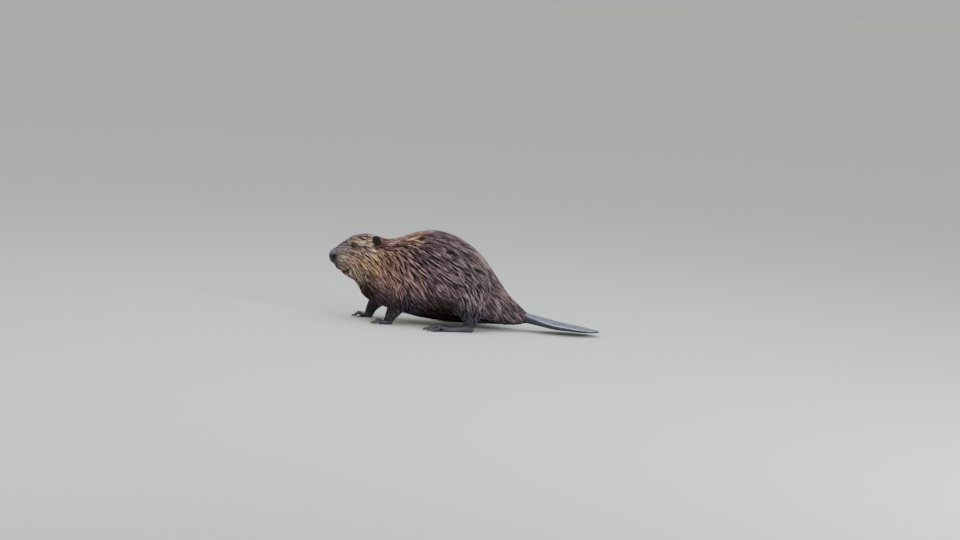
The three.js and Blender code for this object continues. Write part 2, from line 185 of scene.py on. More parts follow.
def make_stage():
    """A pale matt floor under an overcast sky, with soft lights overhead, in front and to the tail's side."""
    bm = bmesh.new()
    bmesh.ops.create_grid(bm, x_segments=1, y_segments=1, size=FLOOR_REACH)
    floor = new_object("floor", bm)
    material, tree = new_material("matt studio floor")
    grain = add(tree, "TexNoise", {"Scale": 3.0, "Detail": 2.0})
    pale = {0: grain, 6: linear("#c9cac6"), 7: linear("#cfcfcb")}
    tint = add(tree, "Mix", pale, **RGBA)
    finished(material, {"Base Color": tint, "Roughness": 0.9})
    floor.data.materials.append(material)
    world = bpy.data.worlds.new("sky")
    world.use_nodes = True
    tree = world.node_tree
    height = add(tree, "SeparateXYZ", {0: add(tree, "TexCoord", out="Generated")}, out="Z")
    glow = add(tree, "MapRange", {0: height, 3: SKY_LEVELS[0], 4: SKY_LEVELS[1]})
    tree.nodes["Background"].inputs["Color"].default_value = linear("#e6e9e7")
    tree.links.new(glow, tree.nodes["Background"].inputs["Strength"])
    bpy.context.scene.world = world
    for name, place, size, power, hue in LIGHTS:
        light = linked(name, bpy.data.lights.new(name, "AREA"))
        light.data.size = size
        light.data.energy = power
        light.data.color = linear(hue)[:3]
        light.location = place
        light.rotation_euler = (-Vector(place)).to_track_quat("-Z", "Y").to_euler()


# ---- Meshes ----


def linked(name, data):
    """A new object in the scene."""
    made = bpy.data.objects.new(name, data)
    bpy.context.scene.collection.objects.link(made)
    return made


def new_object(name, bm):
    """A smooth-shaded object from a bmesh, which is freed."""
    mesh = bpy.data.meshes.new(name)
    for face in bm.faces:
        face.smooth = True
    bm.to_mesh(mesh)
    bm.free()
    return linked(name, mesh)


def read(items, key, width, kind=float):
    """One row of numbers for each of a mesh's items."""
    values = np.empty(len(items) * width, kind)
    items.foreach_get(key, values)
    return values.reshape(-1, width)


def positions(mesh):
    return read(mesh.vertices, "co", 3)


def set_positions(mesh, points):
    mesh.vertices.foreach_set("co", np.ascontiguousarray(points).ravel())
    mesh.update()


def normals_of(mesh):
    return read(mesh.vertex_normals, "vector", 3)


def triangles_of(mesh):
    mesh.calc_loop_triangles()
    return read(mesh.loop_triangles, "vertices", 3, np.int32)


def edges_of(mesh):
    return read(mesh.edges, "vertices", 2, np.int32)


def tree_of(points, triangles):
    return BVHTree.FromPolygons([Vector(p) for p in points], [tuple(map(int, t)) for t in triangles])


def closest(tree, points):
    """The nearest spot of a surface to each point: its place, normal, triangle and distance."""
    return [np.array(kind) for kind in zip(*(tree.find_nearest(Vector(p)) for p in points))]


def relaxed(values, edges, rounds, weight=1.0):
    """Values on a mesh, each moved towards its neighbours' mean so many times."""
    count = len(values)
    flat = values.reshape(count, -1).astype(float)
    ends = np.concatenate([edges[:, 0], edges[:, 1]])
    others = np.concatenate([edges[:, 1], edges[:, 0]])
    links = np.maximum(np.bincount(ends, minlength=count), 1)
    share = np.reshape(weight, (-1, 1))
    for _ in range(rounds):
        mean = np.stack([np.bincount(ends, column[others], count) / links for column in flat.T], 1)
        flat = flat + share * (mean - flat)
    return flat.reshape(values.shape)


def set_attribute(mesh, name, values):
    data = mesh.attributes.new(name, "FLOAT", "POINT").data
    data.foreach_set("value", np.ascontiguousarray(values, np.float32))


def applied(made, *modifiers):
    """Gives an object modifiers, each a type and its settings, and makes their result its mesh."""
    for kind, settings in modifiers:
        modifier = made.modifiers.new(kind.lower(), kind)
        for name, value in settings.items():
            setattr(modifier, name, value)
    shaped = bpy.data.meshes.new_from_object(made.evaluated_get(bpy.context.evaluated_depsgraph_get()))
    made.modifiers.clear()
    old = made.data
    made.data = shaped
    bpy.data.meshes.remove(old)
    return made


def node_copy(name, grow=0.0):
    """A CAD node as a bmesh with its loose triangles merged, grown outwards by so many metres."""
    bm = bmesh.new()
    bm.from_mesh(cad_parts[name].data)
    bmesh.ops.remove_doubles(bm, verts=bm.verts, dist=1e-5)
    bm.normal_update()
    moves = [vert.normal * grow for vert in bm.verts]
    for vert, move in zip(bm.verts, moves):
        vert.co += move
    return bm


def joined(name, parts):
    bm = bmesh.new()
    for part in parts:
        mesh = bpy.data.meshes.new(name)
        part.to_mesh(mesh)
        part.free()
        bm.from_mesh(mesh)
        bpy.data.meshes.remove(mesh)
    return new_object(name, bm)


# ---- The animal's outline and regions, in body millimetres ----

BACK_LINE = np.array([
    (-470, 217), (-443, 246), (-402, 278), (-345, 294), (-308, 287), (-268, 281), (-228, 293), (-182, 309),
    (-122, 320), (-62, 311), (0, 281), (50, 240), (91, 189), (128, 141), (164, 102), (203, 72),
])
BELLY_LINE = np.array([
    (-470, 199), (-435, 162), (-415, 147), (-398, 137), (-366, 112), (-350, 84), (-318, 63), (-262, 46),
    (-200, 32), (-126, 21), (58, 17), (203, 24),
])
FUR_END_X = 203.0  # where the coat gives way to the tail's scales

LABELS = [
    "head", "neck", "trunk", "tail_root", "tail", "ear", "fore_leg", "fore_foot", "hind_leg", "hind_foot",
]
HEAD, NECK, TRUNK, ROOT, TAIL, EAR, FORE_LEG, FORE_FOOT, HIND_LEG, HIND_FOOT = range(len(LABELS))
FLESH = {
    node: LABELS.index(label)
    for label in LABELS
    for node in ([label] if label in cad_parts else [f"{label}_{side}" for side in SIDES])
}
CLAWS = {
    f"{foot}_{side}": [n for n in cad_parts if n.startswith(f"{foot}_{side}_claw")]
    for foot in ("fore_foot", "hind_foot")
    for side in SIDES
}

EYE_RADIUS = 9.2
EYE = to_body([sum(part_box("eye_right"), Vector()) / 2])[0]
EYE_OUT = unit(np.array([[-0.28, 0.88, 0.34]]))[0]  # the way that an eye looks
EYE_FORWARD = in_plane(unit(np.array([[-1.0, -0.3, -0.05]])), EYE_OUT[None])[0]
EYE_UP = np.cross(EYE_OUT, EYE_FORWARD)
LID_OPENING = (8.6, 6.7)  # half length and half height of the opening
# The lids' height over the ball, by the distance from the eye's axis as a share of the opening's half size.
LID_HEIGHT = ([0.0, 0.9, 1.0, 1.12, 1.3, 1.6], [0.0, 0.1, 0.45, 0.95, 0.85, 0.5])
LID_SHARES = (1.35, 0.9)  # of that height, in the upper and the lower lid
LID_DROP = -2.4  # how far under the ball's surface the skin lies behind the opening

NOSTRIL = np.array([-453.0, 25.0, 209.0])
NOSE_PAD = (np.array([-469.0, 0, 211]), np.array([40.0, 54, 27]))  # middle and radii of the bare pad
NOSE_SWELL = 2.6  # millimetres that the pad stands out in front
# The raised rim of a nostril: its radii, and its place and breadth as shares of them.
NOSTRIL_RIM = ([9.5, 12, 7.5], 1.1, 0.25)
WHISKER_ROOTS = np.array([
    (-441 + 7.5 * k + 2 * (row % 2), 26 + 2.2 * k, 207 - 8.5 * row) for row in range(4) for k in range(4)
])
MOUTH = np.array([(-450, 166), (-436, 163.5), (-420, 163.5), (-405, 167), (-391, 174)])  # in side view


def height_share(points):
    """0 at the belly line, 1 at the back line."""
    low = np.interp(points[:, 0], *BELLY_LINE.T)
    high = np.interp(points[:, 0], *BACK_LINE.T)
    return (points[:, 2] - low) / (high - low)


def off_mouth(points):
    """Each point's distance from the line of the lips, seen from the side."""
    nearest = np.full(len(points), np.inf)
    seen = points[:, [0, 2]]
    for start, end in zip(MOUTH, MOUTH[1:]):
        along = end - start
        share = np.clip(((seen - start) @ along) / (along @ along), 0, 1)
        gap = seen - start - share[:, None] * along
        nearest = np.minimum(nearest, np.sqrt((gap**2).sum(1)))
    return nearest


def on_nose(points):
    """1 on the bare nose pad."""
    return 1 - soft_step(reach_from(points, *NOSE_PAD), 0.86, 1.07)


def eye_reach(points):
    """How far each point lies from the eye's axis, 1 at the lids' margin."""
    offset = mirrored(points) - EYE
    length = np.sqrt((offset**2).sum(1))
    across = offset @ EYE_FORWARD / LID_OPENING[0]
    above = offset @ EYE_UP / LID_OPENING[1]
    reach = np.sqrt(across**2 + above**2)
    facing = offset @ EYE_OUT > -0.2 * EYE_RADIUS
    return np.where(facing & (length < 4 * EYE_RADIUS), reach, 99.0)


# ---- Skin ----

VOXEL = 0.002
SKIN_FACES = 182_000
# Millimetres of coat over each region, on the head by x and on the legs by z, and its limits at the rear by x
# and over the crown by z.
DEPTH = {NECK: 8, TRUNK: 10, ROOT: 7, TAIL: 0.6, EAR: 0.5, FORE_FOOT: 0.6, HIND_FOOT: 0.6}
HEAD_DEPTH = ([-455, -430, -400, -365, -330, -300], [1.2, 2.4, 3.2, 5.0, 6.8, 7.5])
LEG_DEPTH = ([15, 45, 100, 150], [1.0, 2.5, 5, 9])
REAR_LIMIT = ([100, 200], [10, 6.5])
CROWN_LIMIT = ([262, 282], [7.5, 4.2])
# How much of each relaxing step a region takes: little where its form is fine.
SMOOTHING = {HEAD: 0.5, NECK: 1, TRUNK: 1, ROOT: 1, TAIL: 0.5, EAR: 0.05, FORE_LEG: 0.6, FORE_FOOT: 0.06,
             HIND_LEG: 0.6, HIND_FOOT: 0.08}


def label_finder(flesh):
    """A tree over those nodes' triangles, and which region each triangle belongs to."""
    points, triangles, labels = [], [], []
    for node, label in flesh.items():
        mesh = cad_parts[node].data
        start = len(points)
        points.extend(positions(mesh))
        tris = triangles_of(mesh) + start
        triangles.extend(tris)
        labels.extend([label] * len(tris))
    return tree_of(points, triangles), np.array(labels)


def region_of(points, finder):
    tree, labels = finder
    return labels[closest(tree, points)[2]]


def coat_depth(points, regions, edges):
    """Millimetres from the skin out to the tips of the coat, the same on both sides of every seam."""
    x, _, z = points.T
    head = regions == HEAD
    rear = np.isin(regions, (ROOT, TRUNK))
    depth = np.array([DEPTH.get(r, 0) for r in range(len(LABELS))])[regions]
    depth = np.where(head, np.interp(x, *HEAD_DEPTH), depth)
    depth = np.where(np.isin(regions, (FORE_LEG, HIND_LEG)), np.interp(z, *LEG_DEPTH), depth)
    depth = np.where(rear, np.minimum(depth, np.interp(x, *REAR_LIMIT)), depth)
    depth = np.where(head, np.minimum(depth, np.interp(z, *CROWN_LIMIT)), depth)
    depth = relaxed(depth, edges, 24)
    depth *= 1 - 0.75 * near(points, EYE, [26, 26, 22])
    return depth * (1 - 0.8 * on_nose(points))


# Swellings of the face and hollows in it: millimetres out, the middle and the radii.
FACE_FORMS = (
    (2.4, [-428, 27, 193], [24, 22, 22]),  # whisker pad
    (1.8, [-384, 33, 268], [26, 18, 11]),  # brow
    (-1.6, [-399, 38, 246], [18, 14, 14]),  # hollow before the eye
    (1.8, [-372, 44, 240], [20, 14, 9]),  # cheekbone
    (2.0, [-440, 13, 172], [14, 14, 8]),  # front of the upper lip
)
MOUTH_GROOVE = 4.6  # millimetres deep, and wide to each side


def shape_face(points, normals):
    """Brow, whisker pads, nostrils, the split of the lip and the mouth, pressed into or out of the skin."""
    level = mirrored(points)
    x, y, z = level.T
    move = sum(height * near(points, middle, radii) for height, middle, radii in FACE_FORMS)
    mouth = off_mouth(points)
    lips = soft_step(-x, 385, 392)
    move -= MOUTH_GROOVE * (1 - soft_step(mouth, 0, MOUTH_GROOVE)) * lips
    under = z < np.interp(x, *MOUTH.T)
    move -= 2.4 * under * (1 - soft_step(mouth, 3, 16)) * soft_step(mouth, 1, 4) * lips
    split = soft_step(-x, 436, 442) * soft_step(z, 163, 167) * (1 - soft_step(z, 186, 194))
    move -= 2.6 * (1 - soft_step(y, 0, 2.6)) * split
    # The pad: a groove down its middle, and comma-shaped nostrils with raised rims at its sides.
    pad = on_nose(points)
    move += NOSE_SWELL * pad * soft_step(-x, 444, 464)
    move -= 1.3 * (1 - soft_step(y, 0, 2.4)) * pad
    hole = near(points, NOSTRIL, [8.5, 11, 6.4])
    comma = near(points, NOSTRIL + [9, 2, 5], [12, 11, 5.0])
    move -= 9 * hole**0.8 + 5.5 * comma
    rim_radii, rim_place, rim_breadth = NOSTRIL_RIM
    rim = reach_from(level, NOSTRIL, rim_radii)
    move += np.exp(-((rim - rim_place) / rim_breadth) ** 2)
    return points + normals * move[:, None]


def shape_lids(points):
    """Presses the skin into two lids round the ball: over it at the margin, under it inside the opening."""
    side = np.where(points[:, 1:2] < 0, -1.0, 1.0)
    level = mirrored(points)
    offset = level - EYE
    along, above, out = offset @ EYE_FORWARD, offset @ EYE_UP, offset @ EYE_OUT
    reach = eye_reach(points)
    clipped = np.maximum(reach, 1)
    ball = np.sqrt(np.maximum(EYE_RADIUS**2 - (along**2 + above**2) / clipped**2, 0))
    thick = np.interp(reach, *LID_HEIGHT) * np.where(above > 0, *LID_SHARES)
    lid = ball + np.where(reach < 1, LID_DROP * (1 - soft_step(reach, 0.84, 1.0)), 0) + thick
    hold = 1 - soft_step(reach, 1.25, 2.4)
    level = level + EYE_OUT * ((lid - out) * hold)[:, None]
    level[:, 1:2] *= side
    return np.where((hold > 0)[:, None], level, points)


def on_features(points):
    """Whether each point is by an eye, a nostril, the lips or the nose, where the mesh is finer."""
    fine = (near(points, EYE, [24, 24, 20]) > 0.1) | (near(points, NOSTRIL, [24, 34, 40]) > 0.1)
    return fine | (off_mouth(points) < 6) & (points[:, 0] < -384) | (on_nose(points) > 0)


def on_eye(points):
    return eye_reach(points) < 2.2


def make_skin():
    """One closed skin over all the flesh: grown copies fused, relaxed, drawn in by the coat and sculpted."""
    flesh = [node_copy(node, 0.0006) for node in FLESH]
    skin = joined("skin", flesh + [node_copy(f"eye_{side}", 0.0008) for side in SIDES])
    applied(skin, ("REMESH", {"mode": "VOXEL", "voxel_size": VOXEL, "use_smooth_shade": True}))
    finder = label_finder(FLESH)
    mesh = skin.data
    regions = region_of(positions(mesh), finder)
    edges = edges_of(mesh)
    weight = relaxed(np.array([SMOOTHING[r] for r in range(len(LABELS))])[regions], edges, 6)
    smooth = relaxed(positions(mesh), edges, 90, weight * 0.6)
    set_positions(mesh, smooth)

    bm = bmesh.new()
    bm.from_mesh(mesh)
    for is_fine in (on_features, on_eye):
        fine = is_fine(to_body([v.co for v in bm.verts]))
        cut = [e for e in bm.edges if fine[e.verts[0].index] and fine[e.verts[1].index]]
        bmesh.ops.subdivide_edges(bm, edges=cut, cuts=1, smooth=1.0, use_grid_fill=True)
    bmesh.ops.triangulate(bm, faces=bm.faces)
    bm.to_mesh(mesh)
    bm.free()
    regions = region_of(positions(mesh), finder)
    group = skin.vertex_groups.new(name="coarse")
    plain = np.isin(regions, (NECK, TRUNK, ROOT, FORE_LEG, HIND_LEG))
    group.add(np.flatnonzero(plain).tolist(), 1.0, "REPLACE")
    applied(skin, ("DECIMATE", {"ratio": SKIN_FACES / len(mesh.polygons), "vertex_group": "coarse"}))
    skin.vertex_groups.clear()

    mesh = skin.data
    edges = edges_of(mesh)
    outer = to_body(positions(mesh))
    regions = region_of(positions(mesh), finder)
    depth = coat_depth(outer, regions, edges)
    points = outer - normals_of(mesh) * depth[:, None]
    set_positions(mesh, to_frame(relaxed(points, edges, 2, 0.4)))
    points = shape_face(to_body(positions(mesh)), normals_of(mesh))
    points = shape_lids(points)
    points[:, 2] = np.maximum(points[:, 2], 0)
    set_positions(mesh, to_frame(points))
    mesh.polygons.foreach_set("use_smooth", np.ones(len(mesh.polygons), bool))
    return skin, finder, regions, edges, depth


# ---- Coat ----

# Everything about a tuft follows from how deep the coat is there, in millimetres: its length and width,
# how many stand on a square millimetre, and the width of the locks that they run together in.
DEPTHS = [1.0, 2.4, 4.5, 8.0, 10.0]
TUFT_LENGTH = [4.0, 6.5, 13.0, 27.0, 33.0]
TUFT_WIDTH = [0.5, 0.68, 1.1, 1.8, 2.05]
TUFTS_PER_MM2 = [0.74, 0.62, 0.34, 0.146, 0.119]
LOCK_WIDTH = [2.4, 3.6, 4.6, 5.6, 6.0]
LOCK_STRETCH = 3.0  # how much further apart locks are along the hair than across it
LOCK_EDGE = 0.62  # of a lock's width, from its axis out to its edge
# How much the locks differ in shade from the face to the rump, by x.
CONTRAST = ([-430, -380, -300, -180, -60, 60, 200], [0.8, 0.6, 0.6, 0.7, 0.9, 1.6, 1.6])
BUNCH = 2.3  # width of a bunch of locks as a share of a lock's
STRAYS = 0.09  # share of the tufts that are paler single strands lying over the locks
RIDGE = 0.32  # height of a tuft's section as a share of its width
PATCH = 0.003  # size of a tuft's patch of the unwrap

# The two kinds of tuft. At each step along one: the share of the coat's depth that it has risen to,
# how far it has been drawn into its lock, and its width.
SHORT = {"lift": (-0.1, 0.8, 0.9), "pull": (0.1, 0.45, 0.8), "taper": (0.9, 0.85)}
LONG = {"lift": (-0.08, 0.62, 0.95, 1.0), "pull": (0.15, 0.5, 0.72, 0.9), "taper": (0.8, 1.0, 0.75)}
LONG_FROM = (3.8, 6.2)  # depths of coat over which short tufts give way to long ones

# Degrees below level that the hair runs half way up the side, by x.
FALL = np.array([
    (-470, 5), (-420, 14), (-385, 28), (-345, 40), (-300, 43), (-250, 44), (-190, 46), (-120, 44),
    (-50, 42), (20, 46), (80, 54), (140, 46), (205, 30),
])
FALL_BY_HEIGHT = ([0.0, 0.15, 0.5, 0.85, 1.0], [0.3, 0.8, 1.0, 0.72, 0.3])


def lie_of_hair(points, normals, leg):
    """The way that the hair lies at each point, along the skin."""
    x, y, z = points.T
    share = height_share(points)
    fall = np.interp(x, *FALL.T) * np.interp(share, *FALL_BY_HEIGHT)
    fall += 30 * soft_step(-x, 300, 345) * (1 - soft_step(share, 0.1, 0.5))
    fall = np.radians(fall)
    way = np.stack([np.cos(fall), np.zeros(len(x)), -np.sin(fall)], 1)
    way = way * (1 - leg[:, None]) + np.array([0.25, 0, -1.0]) * leg[:, None]
    way = in_plane(way, normals)
    swirl = np.sin(x / 37 + 1.7 * np.sin(z / 31) + y / 44) + 0.7 * np.sin(z / 23 - x / 61 + np.sign(y) * 2)
    swirl += 0.6 * np.sin(x / 13 + z / 17 + 2 * np.sin(y / 19))
    turn = np.radians(6.0) * swirl[:, None]
    return unit(way * np.cos(turn) + np.cross(normals, way) * np.sin(turn))


def cell_hash(values):
    """A repeatable number from 0 to 1 for each whole number."""
    return np.modf(np.abs(np.sin(values * 12.9898) * 43758.5453))[0]


def nearest(centres, starts, way, across):
    """Each start's centre, the nearest with distance along the hair counting for less, and the way to it."""
    index = KDTree(len(centres))
    for i, place in enumerate(centres):
        index.insert(place, i)
    index.balance()
    close = np.array([[i for _, i, _ in index.find_n(Vector(p), 5)] for p in starts])
    gap = centres[close] - starts[:, None]
    along_gap = (gap * way[:, None]).sum(2)
    side_gap = (gap * across[:, None]).sum(2)
    best = np.argmin((along_gap / LOCK_STRETCH) ** 2 + side_gap**2, 1)
    rows = np.arange(len(starts))
    return close[rows, best], along_gap[rows, best], side_gap[rows, best]


class Ground:
    """The finished skin as the coat grows on it: its faces, and what each one says about the hair."""

    def __init__(self, mesh, regions, finder, edges, depth):
        self.points = to_body(positions(mesh))
        self.normals = normals_of(mesh)
        self.faces = triangles_of(mesh)
        self.tree = tree_of(self.points, self.faces)
        reach = closest(finder[0], to_frame(self.points))[3] * 1000
        self.depth = np.clip(relaxed(reach, edges, 6), 0.7 * depth, 1.5 * depth)
        leg = np.isin(regions, (FORE_LEG, HIND_LEG)).astype(float)
        self.leg = relaxed(leg, edges, 14) * (1 - soft_step(self.points[:, 2], 90, 190))
        self.way = lie_of_hair(self.points, self.normals, self.leg)
        self.ear = relaxed((regions == EAR).astype(float), edges, 4)
        self.way = unit(self.way * (1 - self.ear[:, None]) + np.array([0.3, 0, 1.0]) * self.ear[:, None])
        ankle = relaxed(leg, edges, 14) > 0.12
        bare = (regions == TAIL) & (self.points[:, 0] > FUR_END_X + 4)
        bare |= np.isin(regions, (FORE_FOOT, HIND_FOOT)) & ~ankle
        self.grows = (relaxed(bare.astype(float), edges, 2) < 0.5) & (eye_reach(self.points) > 1.36)
        lips = (off_mouth(self.points) < 1.9) & (self.points[:, 0] < -390)
        self.grows = (self.grows & ~lips) * (1 - soft_step(on_nose(self.points), 0.2, 0.95))

    def on_faces(self, values, faces):
        return values[self.faces[faces]].mean(1)

    def sown(self, density):
        """Random places on the skin, so many to a square millimetre: the points and their faces."""
        corners = self.points[self.faces]
        whole = np.cross(corners[:, 1] - corners[:, 0], corners[:, 2] - corners[:, 0])
        area = np.linalg.norm(whole, axis=1) / 2
        counts = np.floor(area * density[self.faces].mean(1) + rng.random(len(area))).astype(int)
        faces = np.repeat(np.arange(len(area)), counts)
        share = rng.random((len(faces), 2))
        folded = share.sum(1) > 1
        share[folded] = 1 - share[folded]
        share = np.column_stack([1 - share.sum(1), share])
        return (self.points[self.faces[faces]] * share[:, :, None]).sum(1), faces

    def traced(self, starts, faces, lengths, steps):
        """Follows the lie of the hair over the skin: places, normals and depths at each step."""
        place = starts
        normal = unit(self.on_faces(self.normals, faces))
        way = in_plane(self.on_faces(self.way, faces), normal)
        trail = [(place, normal, self.on_faces(self.depth, faces))]
        for _ in range(steps):
            place, _, under, _ = closest(self.tree, place + way * (lengths / steps)[:, None])
            normal = unit(self.on_faces(self.normals, under))
            way = in_plane(0.4 * way + 0.6 * self.on_faces(self.way, under), normal)
            trail.append((place, normal, self.on_faces(self.depth, under)))
        return [np.stack(kind, 1) for kind in zip(*trail)]


def by_depth(depth, values):
    return np.interp(depth, DEPTHS, values)


def grown_tufts(ground, kind, weight):
    """Tufts of one kind over the coat: their vertices, where they are rooted and what each one says."""
    steps = len(kind["taper"])
    depth = ground.depth
    spacing = by_depth(depth, LOCK_WIDTH)
    lock_starts, lock_faces = ground.sown(weight / (spacing**2 * LOCK_STRETCH))
    lock_depth = ground.on_faces(depth, lock_faces)
    locks = ground.traced(lock_starts, lock_faces, by_depth(lock_depth, TUFT_LENGTH), steps)[0]
    bunches = ground.sown(weight / ((BUNCH * spacing) ** 2 * LOCK_STRETCH))[0]

    starts, faces = ground.sown(weight * by_depth(depth, TUFTS_PER_MM2))
    count = len(starts)
    own_depth = ground.on_faces(depth, faces)
    stray = rng.random(count) < STRAYS
    length = by_depth(own_depth, TUFT_LENGTH) * rng.uniform(0.7, 1.15, count) * np.where(stray, 1.15, 1)
    places, normals, reaches = ground.traced(starts, faces, length, steps)

    way = in_plane(ground.on_faces(ground.way, faces), normals[:, 0])
    across = np.cross(normals[:, 0], way)
    lock, along_gap, side_gap = nearest(locks[:, 0], starts, way, across)
    side_share = np.abs(side_gap) / by_depth(own_depth, LOCK_WIDTH)
    off_axis = np.clip(side_share / LOCK_EDGE, 0, 1)
    held = np.where(stray, 0.25, 1) * (1 - soft_step(side_share, 1, 2))
    bunch, _, bunch_gap = nearest(bunches, starts, way, across)
    bunch_edge = np.clip(np.abs(bunch_gap) / (LOCK_EDGE * BUNCH * by_depth(own_depth, LOCK_WIDTH)), 0, 1)

    level = np.where(stray, 1, rng.random(count) ** 0.7)  # 0 low in the coat, 1 at its surface
    height = (0.5 + 0.5 * level) * (1 - 0.5 * off_axis**2 * held)
    height *= rng.uniform(0.92, 1.05, count) + 0.14 * stray
    spine = []
    for step in range(steps + 1):
        heading = unit(locks[lock, min(step + 1, steps)] - locks[lock, max(step - 1, 0)])
        drawn = locks[lock, step] - heading * along_gap[:, None]
        flat = places[:, step] + (drawn - places[:, step]) * (kind["pull"][step] * held)[:, None]
        spine.append(flat + normals[:, step] * (reaches[:, step] * kind["lift"][step] * height)[:, None])

    width = by_depth(own_depth, TUFT_WIDTH) * rng.uniform(0.8, 1.2, count) * (1.25 - 0.5 * level)
    parts = []
    for step, taper in enumerate(kind["taper"]):
        heading = unit(spine[step + 1] - spine[max(step - 1, 0)])
        aside = unit(np.cross(normals[:, step], heading)) * (width * taper / 2)[:, None]
        top = np.cross(heading, aside) * 2 * RIDGE
        parts += [spine[step] - aside, spine[step] + top, spine[step] + aside]
    points = np.stack([*parts, spine[-1]], 1)
    # A tuft's tone: painted shade, darker low in the coat and towards the edges of its lock and bunch, where
    # the valleys lie, with a random tone for each lock, bunch and tuft.
    tone_and_shade = 0.62 + 0.4 * (level - 0.5) - 0.75 * off_axis**1.6 * held + np.where(stray, 0.2, 0)
    tone_and_shade += 0.7 * (cell_hash(lock + 1.0) - 0.5) + 0.42 * (rng.random(count) - 0.5)
    tone_and_shade += 0.12 * (cell_hash(bunch + 7.0) - 0.5) - 0.1 * bunch_edge**2
    tone_and_shade = 0.6 + (tone_and_shade - 0.64) * np.interp(starts[:, 0], *CONTRAST)
    says = {"tone_and_shade": np.clip(tone_and_shade, 0, 1), "strand": rng.random(count), "depth": own_depth}
    says.update({name: marking(starts) for name, (_, marking) in MARKINGS.items()})
    return points, starts, says


def tuft_pattern(steps):
    """The faces of one tuft, and how far along and across it each vertex stands."""
    along = [step / steps for step in range(steps) for _ in range(3)] + [1.0]
    across = [0.0, 0.5, 1.0] * steps + [0.5]
    sides = ((0, 1), (1, 2), (2, 0))
    faces = [(2, 1, 0)]
    for ring in range(0, 3 * (steps - 1), 3):
        faces += [(ring + a, ring + b, ring + 3 + b, ring + 3 + a) for a, b in sides]
    last = 3 * (steps - 1)
    faces += [(last + a, last + b, last + 3) for a, b in sides]
    return faces, np.array(along), np.array(across)


def coat_piece(name, points, says, patches, steps):
    """One mesh of closed tufts, every tuft's faces written from the one pattern."""
    faces, along, across = tuft_pattern(steps)
    count, size = points.shape[:2]
    pattern = np.concatenate(faces)
    corners = (np.arange(count)[:, None] * size + pattern).ravel()
    totals = np.tile([len(face) for face in faces], count)
    mesh = bpy.data.meshes.new(name)
    mesh.vertices.add(count * size)
    mesh.vertices.foreach_set("co", to_frame(points.reshape(-1, 3)).astype(np.float32).ravel())
    mesh.loops.add(len(corners))
    mesh.loops.foreach_set("vertex_index", corners.astype(np.int32))
    mesh.polygons.add(len(totals))
    mesh.polygons.foreach_set("loop_start", np.concatenate([[0], np.cumsum(totals)[:-1]]).astype(np.int32))
    mesh.polygons.foreach_set("loop_total", totals.astype(np.int32))
    mesh.polygons.foreach_set("use_smooth", np.ones(len(totals), bool))
    mesh.update(calc_edges=True)
    set_attribute(mesh, "along", np.tile(along, count))
    set_attribute(mesh, "across", np.tile(across, count))
    for key, values in says.items():
        set_attribute(mesh, key, np.repeat(values, size))
    spot = np.column_stack([across, along])[pattern] * PATCH
    uv = (patches[:, None] + spot).reshape(-1, 2)
    mesh.uv_layers.new(name="OFBake").data.foreach_set("uv", uv.astype(np.float32).ravel())
    return linked(name, mesh)


UNWRAP_FACES = 5000


def unwrap_finder(skin):
    """An unwrap of the skin's shape, made on a light copy of it, as a function from place to patch."""
    copy = linked("unwrap", skin.data.copy())
    applied(copy, ("DECIMATE", {"ratio": UNWRAP_FACES / len(copy.data.polygons)}))
    bpy.context.view_layer.objects.active = copy
    copy.select_set(True)
    bpy.ops.object.mode_set(mode="EDIT")
    bpy.ops.mesh.select_all(action="SELECT")
    bpy.ops.uv.smart_project(angle_limit=math.radians(60), island_margin=0.004)
    bpy.ops.object.mode_set(mode="OBJECT")
    mesh = copy.data
    points = to_body(positions(mesh))
    faces = triangles_of(mesh)
    uv = read(mesh.uv_layers.active.data, "uv", 2)[read(mesh.loop_triangles, "loops", 3, np.int32)]
    tree = tree_of(points, faces)
    bpy.data.objects.remove(copy)

    def patches(starts):
        on, _, face, _ = closest(tree, starts)
        a, b, c = (points[faces[face, k]] for k in range(3))
        whole = np.cross(b - a, c - a)
        area = np.maximum((whole**2).sum(1), 1e-12)
        share_b = (np.cross(on - a, c - a) * whole).sum(1) / area
        share_c = (np.cross(b - a, on - a) * whole).sum(1) / area
        shares = np.clip(np.column_stack([1 - share_b - share_c, share_b, share_c]), 0, 1)
        return np.clip((uv[face] * shares[:, :, None]).sum(1) - PATCH / 2, 0, 1 - PATCH)

    return patches


PIECE_TRIANGLES = 195_000


def make_coat(skin, ground):
    """The whole coat, short tufts and long, in pieces from nose to tail."""
    patches = unwrap_finder(skin)
    materials = (guard_hair("damp guard hair", 0.36, 0.4), guard_hair("soft belly hair", 0.7, 0.08))
    long_share = soft_step(ground.depth, *LONG_FROM)
    for prefix, kind, share, slot in (
        ("short_fur", SHORT, 1 - long_share, "head_fur"),
        ("guard_hair", LONG, long_share, "body_fur"),
    ):
        steps = len(kind["taper"])
        points, starts, says = grown_tufts(ground, kind, ground.grows * share)
        triangles = 6 * steps - 2
        pieces = math.ceil(len(starts) * triangles / PIECE_TRIANGLES)
        order = np.argsort(starts[:, 0], kind="stable")
        for number, rows in enumerate(np.array_split(order, pieces)):
            own = {key: values[rows] for key, values in says.items()}
            piece = coat_piece(f"{prefix}_{number + 1}", points[rows], own, patches(starts[rows]), steps)
            for material in materials:
                piece.data.materials.append(material)
            soft = np.maximum(own["belly"], own["throat with painted shade"]) + 0.4 * (own["strand"] - 0.5) > 0.45
            piece.data.polygons.foreach_set("material_index", np.repeat(soft, 3 * steps + 1).astype(np.int32))
            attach(piece, "root")


# ---- Markings, shared by skin and coat; some of them are painted light and shade ----


def spots(*places):
    """A marking made of soft ellipsoids, each a strength, a centre and its radii."""
    return lambda points: np.maximum.reduce([s * near(points, np.array(c), r) for s, c, r in places])


def on_head(points):
    return soft_step(-points[:, 0] + 0.25 * (points[:, 2] - 200), 292, 345)


def on_neck(points):
    x = points[:, 0]
    return soft_step(-x, 110, 250) * soft_step(height_share(points), 0.15, 0.5)


